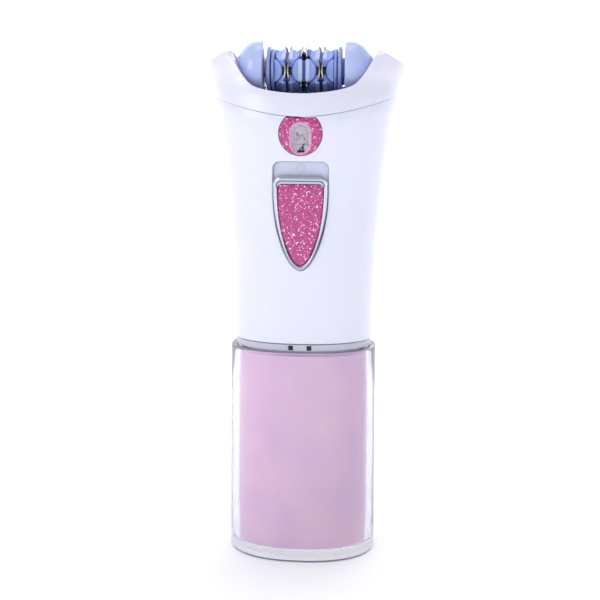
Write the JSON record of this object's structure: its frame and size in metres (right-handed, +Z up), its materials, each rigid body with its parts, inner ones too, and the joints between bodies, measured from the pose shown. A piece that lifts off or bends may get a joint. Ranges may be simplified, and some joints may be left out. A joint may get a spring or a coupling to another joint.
{
  "type": "epilator",
  "caption": "Handheld battery epilator: flared white handle on a clear-walled battery cup, with a turning tweezer drum between two domed cheeks.",
  "frame": {"origin": "centre of the battery cup's flat underside", "axes": "+Z up the handle towards the drum; -Y is the front, with the switch and the lamp; +X is the right side seen from the front"},
  "size_m": [0.0544, 0.0328, 0.1436],
  "materials": {
    "white_gloss": "gloss",
    "grey_plastic": "satin",
    "drum_blue": "satin",
    "pale_blue": "gloss",
    "pink_plastic": "satin",
    "pink_glitter": "gloss",
    "clear_plastic": "gloss",
    "chrome": "polished",
    "steel": "satin",
    "spring_steel": "polished",
    "brass": "satin",
    "gear_nylon": "satin",
    "board": "satin",
    "magnet": "matte",
    "led_epoxy": "gloss",
    "cell_wrap": "gloss",
    "lead_red": "satin",
    "lead_black": "satin"
  },
  "bodies": {
    "handle": {"front_shell": "white_gloss", "rear_shell": "white_gloss", "neck_ring": "grey_plastic", "contact_spring": "spring_steel", "contact_tab": "spring_steel", "casing_screw_1": "steel", "casing_screw_2": "steel", "led_lens": "pink_glitter", "led_reflector": "grey_plastic", "led_bulb": "led_epoxy", "switch_panel": "grey_plastic", "circuit_board": "board", "slide_switch_body": "steel", "resistor": "brass", "motor_can": "steel", "motor_end_cap": "grey_plastic", "motor_magnet_left": "magnet", "motor_magnet_right": "magnet", "lead_left": "lead_red", "lead_right": "lead_black", "gear_frame": "grey_plastic", "idler_pin": "steel"},
    "battery_cup": {"clear_cup": "clear_plastic", "inner_cup": "pink_plastic", "battery_left": "cell_wrap", "battery_right": "cell_wrap", "bridge_contact": "spring_steel"},
    "slider": {"switch_frame": "chrome", "switch_inlay": "pink_glitter", "switch_carrier": "grey_plastic"},
    "rotor": {"motor_rotor": "steel", "motor_pinion": "brass"},
    "crown": {"crown_gear": "gear_nylon"},
    "idler": {"idler_gear": "gear_nylon"},
    "head": {"head_collar": "white_gloss", "head_trough": "pale_blue", "cheek_left": "pale_blue", "cheek_right": "pale_blue", "drum_bush_left": "brass", "drum_bush_right": "brass"},
    "drum": {"drum_axle": "steel", "drum_gear": "gear_nylon", "drum_flange_left": "drum_blue", "drum_flange_right": "drum_blue", "drum_segment_a": "drum_blue", "drum_segment_b": "drum_blue", "drum_segment_c": "drum_blue", "drum_segment_d": "drum_blue", "blade_fixed_left": "spring_steel", "blade_fixed_middle": "spring_steel", "blade_fixed_right": "spring_steel"},
    "tweezers": {"blade_moving_left": "spring_steel", "blade_moving_middle": "spring_steel", "blade_moving_right": "spring_steel", "push_rod_1": "steel", "push_rod_2": "steel", "push_rod_3": "steel"}
  },
  "joints": [
    {"name": "cup_slide", "type": "slide", "parent": "handle", "child": "battery_cup", "axis": [0, 0, -1], "range_m": [0, 0.04]},
    {"name": "switch_slide", "type": "slide", "parent": "handle", "child": "slider", "axis": [0, 0, 1], "range_m": [0, 0.0035]},
    {"name": "rotor_spin", "type": "hinge", "parent": "handle", "child": "rotor", "pos_m": [0, 0, 0.109], "axis": [0, 0, 1], "continuous": true},
    {"name": "crown_spin", "type": "hinge", "parent": "handle", "child": "crown", "pos_m": [0, 0, 0.1165], "axis": [1, 0, 0], "continuous": true},
    {"name": "idler_spin", "type": "hinge", "parent": "handle", "child": "idler", "pos_m": [-0.0136, 0, 0.1245], "axis": [1, 0, 0], "continuous": true},
    {"name": "head_lift", "type": "slide", "parent": "handle", "child": "head", "axis": [0, 0, 1], "range_m": [0, 0.025]},
    {"name": "drum_spin", "type": "hinge", "parent": "head", "child": "drum", "pos_m": [0, 0, 0.1355], "axis": [1, 0, 0], "continuous": true},
    {"name": "tweezer_close", "type": "slide", "parent": "drum", "child": "tweezers", "axis": [-1, 0, 0], "range_m": [0, 0.0003], "stiffness_N_per_m": 200}
  ],
  "couplings": [
    {"joint": "crown_spin", "follows": "rotor_spin", "ratio": -0.33333},
    {"joint": "idler_spin", "follows": "rotor_spin", "ratio": 0.2},
    {"joint": "drum_spin", "follows": "rotor_spin", "ratio": -0.16667}
  ]
}
